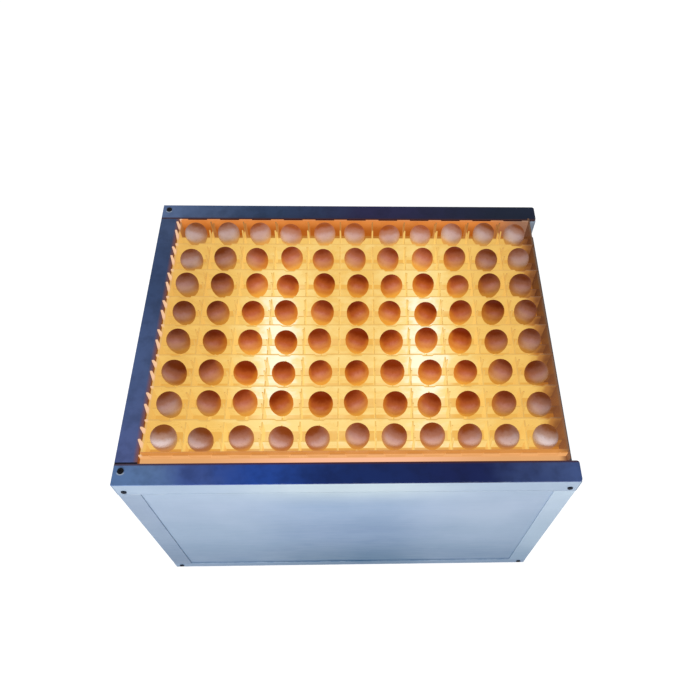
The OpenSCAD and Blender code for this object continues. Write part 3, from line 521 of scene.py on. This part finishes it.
# painted glow and shade of the tray before its walls and flanges are coloured
def trayLevel(tree, glow, y, z, normal, front, cloud):
    gap = wallGap(tree, y)
    top = times(tree, span(tree, normal[2], *amberTray["upward"]), span(tree, z, *amberTray["aboveFloor"]))
    side = span(tree, sums(tree, "ABSOLUTE", normal[0]), *amberTray["sideways"])
    rib = times(tree, span(tree, gap, *amberTray["ribGap"]), front)
    # painted light on faces towards the front, painted shade on the rib tops
    level = sums(tree, "ADD", glow, times(tree, front, amberTray["forwardLift"]))
    level = sums(tree, "SUBTRACT", level, times(tree, rib, amberTray["ribDrop"]))
    plain = times(tree, sums(tree, "MINIMUM", level, amberTray["sideLevel"]), amberTray["sideShare"])
    edge = sums(tree, "MAXIMUM", side, top)   # painted shade on walls seen along their length and on top faces
    rest = times(tree, level, sums(tree, "SUBTRACT", 1.0, edge))
    level = sums(tree, "ADD", times(tree, plain, edge), rest)
    # painted shade behind the back rib and on the prongs, painted light towards the front
    level = times(tree, level, span(tree, y, *lampGlow["backShade"], 1.0, amberTray["backLevel"]))
    prong = times(tree, span(tree, z, *amberTray["prongHeight"]), span(tree, gap, *amberTray["prongGap"]))
    level = times(tree, level, span(tree, prong, 0.0, 1.0, 1.0, amberTray["prongShade"]))
    level = sums(tree, "ADD", level, span(tree, y, *amberTray["frontLift"]))
    return sums(tree, "ADD", level, span(tree, cloud, *amberTray["cloudSpan"]))


def amberPlastic(tree, shader, cloud):
    feed(tree, tint(tree, cloud, *amberTray["base"]), shader.inputs["Base Color"])
    feed(tree, span(tree, cloud, *amberTray["roughness"]), shader.inputs["Roughness"])
    shader.inputs["Specular IOR Level"].default_value = amberTray["specular"]


def trayLight():
    mat, tree, shader = startMaterial("amberTray")
    point = here(tree)
    glow, (x, y, z) = glowAt(tree, point)
    cloud = grain(tree, point, *amberTray["cloud"])
    normal = facing(tree)
    front = span(tree, normal[1], *amberTray["forward"])
    level = trayLevel(tree, glow, y, z, normal, front, cloud)
    # painted shade low down in front of the front rib
    low = times(tree, span(tree, y, *lampGlow["frontShade"]), span(tree, z, *amberTray["lowHeight"]))
    colour = stops(tree, level, amberTray["glow"])
    colour = tint(tree, times(tree, low, amberTray["lowShare"]), colour, lampGlow["shadeColour"])
    # painted glow and shade of the front wall and flange, darker towards the right end
    toEnds = span(tree, sums(tree, "ABSOLUTE", x), *amberTray["flangeEnds"])
    flange = tint(tree, toEnds, *amberTray["frontFlangeGlow"])
    flange = tint(tree, span(tree, x, *amberTray["flangeRight"]), flange, amberTray["rightEndShade"][1])
    upright = sums(tree, "MAXIMUM", front, span(tree, y, *amberTray["wallPlace"]))
    wall = tint(tree, span(tree, z, *amberTray["tabBlend"]), *amberTray["frontWallGlowAndShade"])
    colour = tint(tree, span(tree, y, *amberTray["frontPlace"]), colour, tint(tree, upright, flange, wall))
    # painted glow of the back wall and flange, darker low down
    wall = tint(tree, span(tree, z, *amberTray["backHeight"]), *amberTray["backWallGlow"])
    wall = tint(tree, span(tree, x, *amberTray["backShadeFade"]), wall, amberTray["backEndShade"])
    colour = tint(tree, span(tree, y, *amberTray["backPlace"]), colour, wall)
    # painted shade on the right end, then painted glow on the prongs beside the left strip
    end = tint(tree, span(tree, y, *amberTray["rightDepth"]), *amberTray["rightEndShade"])
    colour = tint(tree, span(tree, x, *amberTray["rightPlace"]), colour, end)
    toothGlow = times(tree, span(tree, z, *amberTray["toothHeight"]), span(tree, x, *amberTray["toothPlace"]))
    shine(tree, shader, tint(tree, toothGlow, colour, amberTray["toothGlow"]))
    amberPlastic(tree, shader, cloud)
    feed(tree, relief(tree, cloud, *amberTray["bump"]), shader.inputs["Normal"])
    return mat


wear("egg_tray", trayLight())

# straight inner lips of the tray, along its front and back walls
trayLips = {
    "frontLip": {"place": -0.2216, "top": 0.4540, "blend": (0.4420, 0.4436),
                 "colours": amberTray["frontWallGlowAndShade"],
                 "fade": (0.300, 0.318, 0.0, 0.7), "end": amberTray["rightEndShade"][0]},
    "backLip": {"place": 0.2216, "top": 0.4496, "blend": (0.422, 0.4496),
                "colours": ((0.37, 0.082, 0.007), (0.66, 0.205, 0.040)),
                "fade": amberTray["backShadeFade"], "end": amberTray["backEndShade"]},
    "thickness": 0.0012,
    "low": 0.4100,
    "reach": (-0.2973, 0.3183),
    "round": 0.0004,
    "roundSegments": 3,
    "nearTop": 1e-5,
    "cloudSpan": (0.3, 0.7, -0.1, 0.1),
}


def modelLip(name):
    lip = trayLips[name]
    start, end = trayLips["reach"]
    low, top = trayLips["low"], lip["top"]
    bpy.ops.object.select_all(action="DESELECT")
    bpy.ops.mesh.primitive_cube_add(size=1, location=((start + end) / 2, lip["place"], (low + top) / 2))
    piece = bpy.context.object
    piece.name = name
    piece.scale = (end - start, trayLips["thickness"], top - low)
    bpy.ops.object.transform_apply(location=True, rotation=True, scale=True)
    bpy.ops.object.mode_set(mode="EDIT")
    bpy.ops.mesh.select_all(action="DESELECT")
    bpy.ops.object.mode_set(mode="OBJECT")
    for edge in piece.data.edges:
        edge.select = all(piece.data.vertices[v].co.z > top - trayLips["nearTop"] for v in edge.vertices)
    bpy.ops.object.mode_set(mode="EDIT")
    bpy.ops.mesh.select_mode(type="EDGE")
    bpy.ops.mesh.bevel(offset=trayLips["round"], segments=trayLips["roundSegments"])
    bpy.ops.object.mode_set(mode="OBJECT")
    return piece


def lipLight(name):
    lip = trayLips[name]
    mat, tree, shader = startMaterial(name)
    point = here(tree)
    place = axes(tree, point)
    cloud = grain(tree, point, *amberTray["cloud"])
    uneven = span(tree, cloud, *trayLips["cloudSpan"])
    # painted glow and shade by height, then painted shade towards the right end
    height = sums(tree, "ADD", span(tree, place[2], *lip["blend"]), uneven, clamp=True)
    colour = tint(tree, height, *lip["colours"])
    shine(tree, shader, tint(tree, span(tree, place[0], *lip["fade"]), colour, lip["end"]))
    amberPlastic(tree, shader, cloud)
    return mat


for name in ("frontLip", "backLip"):
    lip = modelLip(name)
    lip.data.materials.append(lipLight(name))
    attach(lip, "tray")
print("plate and tray lit")

# eggs, blunt end up, one modelled and then copied into every cell
henEgg = {
    "columns": 11,
    "rows": 8,
    "pitch": 0.056,
    "middleX": 0.0105,
    "radius": 0.01875,
    "drop": 0.03025,
    "widestZ": 0.44455,
    "segments": 24,
    "rings": 14,
    "narrowing": ((0.012, 0.985), (0.020, 0.975)),   # depth below the widest ring, and width from there on
    "justBelow": 1e-5,
    "tilt": 7.5,
    "sizes": (0.965, 1.015),
    "seed": 11,
    "roomLitRows": (0.42, 0.0, 0.0, 0.0, 0.0, 0.0, 0.16, 0.78),   # front row first; painted room light on the outer rows
    "roomLitEnds": (0.60, 0.36, 0.24, 0.20, 0.22, 0.28, 0.34, 0.02),
    "endPower": 5,
    "paleSpread": (-0.05, 0.06),
    "shadeAxis": (0.62, 0.78),   # painted shade, darkest towards the blunt end
    "axisSpread": (-0.5, 0.5),
    "toneSpread": (-0.14, 0.14),
    "roomSide": (0.0, -0.50, 0.87),   # where the light of the room comes from
}


def resizeBelow(egg, depth, scale):
    bpy.ops.object.mode_set(mode="OBJECT")
    for v in egg.data.vertices:
        v.select = v.co.z < -depth
    bpy.ops.object.mode_set(mode="EDIT")
    bpy.ops.transform.resize(value=scale, center_override=(0, 0, 0))


def modelEgg():
    bpy.ops.object.select_all(action="DESELECT")
    bpy.ops.mesh.primitive_uv_sphere_add(segments=henEgg["segments"], ring_count=henEgg["rings"],
                                         radius=henEgg["radius"])
    egg = bpy.context.object
    egg.name = "shellEggs"
    bpy.ops.object.mode_set(mode="EDIT")
    bpy.ops.mesh.select_all(action="DESELECT")
    resizeBelow(egg, henEgg["justBelow"], (1, 1, henEgg["drop"] / henEgg["radius"]))
    for depth, share in henEgg["narrowing"]:
        resizeBelow(egg, depth, (share, share, 1))
    bpy.ops.object.mode_set(mode="OBJECT")
    bpy.ops.object.shade_smooth()
    return egg


# sets an egg into its cell, leaning about its lower tip, and notes where painted room light and painted shade
# fall on its shell
def layEgg(egg, column, row, chance):
    middleColumn = (henEgg["columns"] - 1) / 2
    x = henEgg["middleX"] + (column - middleColumn) * henEgg["pitch"]
    y = (row - (henEgg["rows"] - 1) / 2) * henEgg["pitch"]
    lean = math.radians(henEgg["tilt"]) * chance.random()
    way = chance.random() * math.tau
    size = chance.uniform(*henEgg["sizes"])
    foot = Matrix.Translation((x, y, henEgg["widestZ"] - henEgg["drop"]))
    turn = Matrix.Rotation(lean, 4, Vector((math.cos(way), math.sin(way), 0)))
    seat = foot @ turn @ Matrix.Translation((0, 0, henEgg["drop"]))
    egg.matrix_world = seat @ Matrix.Scale(size, 4)
    bpy.ops.object.transform_apply(location=True, rotation=True, scale=True)
    # painted room light on the outer rows and at the ends
    toEnd = (abs(column - middleColumn) / middleColumn) ** henEgg["endPower"]
    pale = henEgg["roomLitRows"][row] + henEgg["roomLitEnds"][row] * toEnd + chance.uniform(*henEgg["paleSpread"])
    pale = min(1.0, max(0.0, pale))
    axis = Vector((chance.uniform(*henEgg["axisSpread"]), *henEgg["shadeAxis"])).normalized()
    tone = chance.uniform(*henEgg["toneSpread"])
    roomSide = Vector(henEgg["roomSide"]).normalized()
    offsets = [v.co - seat.translation for v in egg.data.vertices]
    shades = {
        "shellRoomLit": [pale for offset in offsets],
        "shellShadeAndTone": [offset.dot(axis) / henEgg["radius"] + tone for offset in offsets],
        "shellFlank": [offset.cross(roomSide).length / henEgg["radius"] for offset in offsets],
    }
    for key, values in shades.items():
        layer = egg.data.attributes.new(key, "FLOAT", "POINT")
        layer.data.foreach_set("value", values)


def layEggs():
    first = modelEgg()
    chance = random.Random(henEgg["seed"])
    laid = []
    for column in range(henEgg["columns"]):
        for row in range(henEgg["rows"]):
            bpy.ops.object.select_all(action="DESELECT")
            first.select_set(True)
            bpy.context.view_layer.objects.active = first
            bpy.ops.object.duplicate(linked=False)
            layEgg(bpy.context.object, column, row, chance)
            laid.append(bpy.context.object)
    bpy.ops.object.select_all(action="DESELECT")
    bpy.data.objects.remove(first)
    for egg in laid:
        egg.select_set(True)
    bpy.context.view_layer.objects.active = laid[0]
    bpy.ops.object.join()
    joined = bpy.context.object
    joined.name = "shellEggs"
    return joined


# colours from the lower end to the blunt end, darker towards the blunt end as painted shade, and the painted
# glow of the light that comes through
eggShell = {
    "brown": [(0.05, (0.26, 0.14, 0.05)), (0.35, (0.24, 0.11, 0.045)), (0.60, (0.14, 0.042, 0.010)),
              (0.95, (0.03, 0.003, 0.0))],
    "pale": [(0.05, (0.66, 0.55, 0.47)), (0.24, (0.71, 0.64, 0.64)), (0.50, (0.66, 0.57, 0.57)),
             (0.74, (0.44, 0.28, 0.22)), (0.95, (0.24, 0.09, 0.025))],
    "brownGlow": [(0.03, (0.66, 0.28, 0.030)), (0.35, (0.50, 0.145, 0.024)), (0.62, (0.36, 0.060, 0.008)),
                  (0.95, (0.19, 0.018, 0.0))],
    "paleGlow": [(0.03, (0.36, 0.14, 0.02)), (0.25, (0.14, 0.055, 0.015)), (0.60, (0.22, 0.05, 0.010)),
                 (0.95, (0.34, 0.055, 0.002))],
    "mottle": (120, 4, 0.65),
    "mottleSpan": (0.3, 0.7, -0.03, 0.03),
    "paleShare": 0.8,
    "rim": ((0.15, 0.060, 0.008), (0.55, 0.165, 0.008)),   # painted glow round the flanks, in the base colour and in the emission
    "rimFlank": (0.60, 1.0, 0.0, 0.7),
    "rimTop": (0.86, 0.62),
    "rimLow": (0.12, 0.36),
    "bloom": (0.40, 0.21, 0.20),   # room light on the upper front
    "bloomFlank": (0.70, 0.15, 0.0, 0.5),
    "bloomTop": (0.70, 0.46),
    "speck": (0.06, 0.02, 0.004),
    "speckGrain": (420, 2, 0.5),
    "speckSpan": (0.62, 0.72, 0.0, 0.25),
    "lampDim": (0.58, 0.80, 0.34, 1.0),
    "frontDim": (-0.175, -0.13, 0.66, 1.0),
    "roughness": (0.3, 0.7, 0.45, 0.6),
    "specular": 0.03,
    "grit": (700, 3, 0.6),
    "bump": (0.10, 0.0004),
}


def shellPaint():
    mat, tree, shader = startMaterial("eggShell")
    point = here(tree)
    glow, place = glowAt(tree, point)
    pale, blunt, flank = (stored(tree, key) for key in ("shellRoomLit", "shellShadeAndTone", "shellFlank"))
    mottle = grain(tree, point, *eggShell["mottle"])
    level = span(tree, blunt, -1.0, 1.0, soft=False)
    level = sums(tree, "ADD", level, span(tree, mottle, *eggShell["mottleSpan"]))
    deep = sums(tree, "SUBTRACT", 1.0, times(tree, pale, eggShell["paleShare"]))
    rim = times(tree, span(tree, flank, *eggShell["rimFlank"]), span(tree, level, *eggShell["rimTop"]))
    rim = times(tree, rim, deep, span(tree, level, *eggShell["rimLow"]))
    bloom = times(tree, span(tree, flank, *eggShell["bloomFlank"]), span(tree, level, *eggShell["bloomTop"]))
    bloom = times(tree, bloom, deep)
    base = tint(tree, pale, stops(tree, level, eggShell["brown"]), stops(tree, level, eggShell["pale"]))
    base = tint(tree, bloom, base, eggShell["bloom"])
    base = tint(tree, rim, base, eggShell["rim"][0])
    speck = span(tree, grain(tree, point, *eggShell["speckGrain"]), *eggShell["speckSpan"])
    feed(tree, tint(tree, speck, base, eggShell["speck"]), shader.inputs["Base Color"])
    through = stops(tree, level, eggShell["brownGlow"])
    through = tint(tree, pale, through, stops(tree, level, eggShell["paleGlow"]))
    through = tint(tree, rim, through, eggShell["rim"][1])
    dim = times(tree, span(tree, glow, *eggShell["lampDim"]), span(tree, place[1], *eggShell["frontDim"]))
    shine(tree, shader, tint(tree, dim, (0.0, 0.0, 0.0), through))
    feed(tree, span(tree, mottle, *eggShell["roughness"]), shader.inputs["Roughness"])
    shader.inputs["Specular IOR Level"].default_value = eggShell["specular"]
    grit = grain(tree, point, *eggShell["grit"])
    feed(tree, relief(tree, grit, *eggShell["bump"]), shader.inputs["Normal"])
    return mat


eggs = layEggs()
eggs.data.materials.clear()
eggs.data.materials.append(shellPaint())
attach(eggs, "tray")
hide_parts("eggs")
print("eggs laid")

# the smaller pieces: colour, roughness and metal
plainFinish = {
    "rail_end_plugs": ((0.26, 0.34, 0.46), 0.55, 0.0),
    "cap_screws": ((0.002, 0.002, 0.004), 0.55, 0.0),
    "frame_screws": ((0.004, 0.007, 0.016), 0.55, 0.0),
    "inlet_screws": ((0.45, 0.46, 0.48), 0.30, 0.9),
    "bar_screws": ((0.45, 0.46, 0.48), 0.30, 0.9),
    "batten_screws": ((0.45, 0.46, 0.48), 0.30, 0.9),
    "foot_screws": ((0.45, 0.46, 0.48), 0.30, 0.9),
    "earth_stud": ((0.50, 0.44, 0.26), 0.30, 0.9),
    "front_lamp_bar": ((0.42, 0.44, 0.47), 0.38, 0.8),
    "back_lamp_bar": ((0.42, 0.44, 0.47), 0.38, 0.8),
    "left_batten": ((0.78, 0.78, 0.75), 0.35, 0.0),
    "right_batten": ((0.78, 0.78, 0.75), 0.35, 0.0),
    "lampholders": ((0.80, 0.79, 0.75), 0.40, 0.0),
    "terminal_block": ((0.70, 0.70, 0.66), 0.45, 0.0),
    "tube_caps": ((0.55, 0.56, 0.58), 0.28, 0.9),
    "led_boards": ((0.62, 0.64, 0.62), 0.40, 0.1),
    "power_inlet": ((0.014, 0.014, 0.016), 0.42, 0.0),
    "switch_body": ((0.014, 0.014, 0.016), 0.40, 0.0),
    "switch_rocker": ((0.010, 0.010, 0.012), 0.22, 0.0),
    "inlet_pins": ((0.55, 0.48, 0.30), 0.28, 0.9),
    "inlet_wires": ((0.10, 0.055, 0.03), 0.45, 0.0),
    "switch_wires": ((0.10, 0.055, 0.03), 0.45, 0.0),
    "lamp_wires": ((0.55, 0.54, 0.52), 0.45, 0.0),
    "rubber_feet": ((0.014, 0.014, 0.015), 0.75, 0.0),
}
pieceWear = {
    "cloud": (60, 4, 0.6),
    "wornGain": 1.5,
    "wornLift": 0.004,
    "wornSpan": (0.35, 0.7, 0.0, 0.5),
    "roughSpan": (0.3, 0.7),
    "roughBelow": 0.07,
    "roughAbove": 0.1,
    "nearBlack": 0.02,
    "specular": (0.12, 0.5),   # of pieces near black, and of the others
    "fine": (900, 2, 0.5),
    "bump": (0.08, 0.0004),
}


def plainPiece(name, colour, rough, metal):
    mat, tree, shader = startMaterial("finish." + name)
    point = here(tree)
    cloud = grain(tree, point, *pieceWear["cloud"])
    fine = grain(tree, point, *pieceWear["fine"])
    worn = tuple(min(1.0, part * pieceWear["wornGain"] + pieceWear["wornLift"]) for part in colour)
    base = tint(tree, span(tree, cloud, *pieceWear["wornSpan"]), colour, worn)
    feed(tree, base, shader.inputs["Base Color"])
    roughEnds = (rough - pieceWear["roughBelow"], rough + pieceWear["roughAbove"])
    feed(tree, span(tree, cloud, *pieceWear["roughSpan"], *roughEnds), shader.inputs["Roughness"])
    shader.inputs["Metallic"].default_value = metal
    dark, other = pieceWear["specular"]
    specular = dark if max(colour) < pieceWear["nearBlack"] else other
    shader.inputs["Specular IOR Level"].default_value = specular
    feed(tree, relief(tree, fine, *pieceWear["bump"]), shader.inputs["Normal"])
    return mat


for name, (colour, rough, metal) in plainFinish.items():
    wear(name, plainPiece(name, colour, rough, metal))

tubeLight = {
    "glow": ((0.45, 0.26, 0.10), (1.0, 0.86, 0.60)),   # darker ends and the rest
    "ends": (0.15, 0.205, 1.0, 0.7),
    "base": ((0.85, 0.80, 0.68), (0.70, 0.66, 0.56)),
    "cloud": (30, 3, 0.6),
    "roughness": (0.3, 0.7, 0.16, 0.28),
}


def litTube(name):
    mat, tree, shader = startMaterial("lit." + name)
    point = here(tree)
    cloud = grain(tree, point, *tubeLight["cloud"])
    ends = span(tree, sums(tree, "ABSOLUTE", axes(tree, point)[1]), *tubeLight["ends"])
    shine(tree, shader, tint(tree, ends, *tubeLight["glow"]))
    feed(tree, tint(tree, cloud, *tubeLight["base"]), shader.inputs["Base Color"])
    feed(tree, span(tree, cloud, *tubeLight["roughness"]), shader.inputs["Roughness"])
    return mat


for name in ("left_tube", "right_tube", "led_chips"):
    wear(name, litTube(name))
print("small pieces finished")

# floor, backdrop and light
studio = {
    "floorHalf": 8.0,
    "floorDrop": 0.0005,
    "floorColour": (0.30, 0.30, 0.30),
    "floorRough": 0.9,
    "floorLift": 0.88,
    "ambient": 0.34,
    "aim": (0, 0, 0.3),
    "lights": {   # place, size and power
        "keyLight": ((-0.4, -2.4, 1.1), 1.8, 42.0),
        "topLight": ((0.2, -0.6, 2.6), 2.4, 6.0),
        "backLight": ((0.5, 2.6, 0.9), 2.0, 16.0),
    },
}


def seenDirectly(tree):
    ray = tree.nodes.new("ShaderNodeLightPath")
    mirrored = sums(tree, "MAXIMUM", ray.outputs["Is Glossy Ray"], ray.outputs["Is Transmission Ray"])
    return sums(tree, "MAXIMUM", ray.outputs["Is Camera Ray"], mirrored)


def addFloor():
    bpy.ops.object.select_all(action="DESELECT")
    bpy.ops.mesh.primitive_plane_add(size=2 * studio["floorHalf"], location=(0, 0, -studio["floorDrop"]))
    floor = bpy.context.object
    floor.name = "studioFloor"
    mat, tree, shader = startMaterial("studioFloor")
    shader.inputs["Base Color"].default_value = (*studio["floorColour"], 1)
    shader.inputs["Roughness"].default_value = studio["floorRough"]
    shader.inputs["Emission Color"].default_value = (1, 1, 1, 1)
    feed(tree, times(tree, seenDirectly(tree), studio["floorLift"]), shader.inputs["Emission Strength"])
    floor.data.materials.append(mat)


def addLight(name, place, size, power):
    bpy.ops.object.light_add(type="AREA", location=place)
    lamp = bpy.context.object
    lamp.name = name
    lamp.data.shape = "DISK"
    lamp.data.size = size
    lamp.data.energy = power
    aim = Vector(studio["aim"]) - Vector(place)
    lamp.rotation_euler = aim.to_track_quat("-Z", "Y").to_euler()


def addWorld():
    world = bpy.data.worlds.new("studioWorld")
    bpy.context.scene.world = world
    world.use_nodes = True
    tree = world.node_tree
    tree.nodes.clear()
    output = tree.nodes.new("ShaderNodeOutputWorld")
    sky = tree.nodes.new("ShaderNodeBackground")
    sky.inputs["Color"].default_value = (1, 1, 1, 1)
    strength = span(tree, seenDirectly(tree), 0, 1, studio["ambient"], 1.0, soft=False)
    feed(tree, strength, sky.inputs["Strength"])
    tree.links.new(sky.outputs[0], output.inputs[0])


addFloor()
for name, (place, size, power) in studio["lights"].items():
    addLight(name, place, size, power)
addWorld()
bpy.context.scene.view_settings.view_transform = "Standard"
print("studio ready")
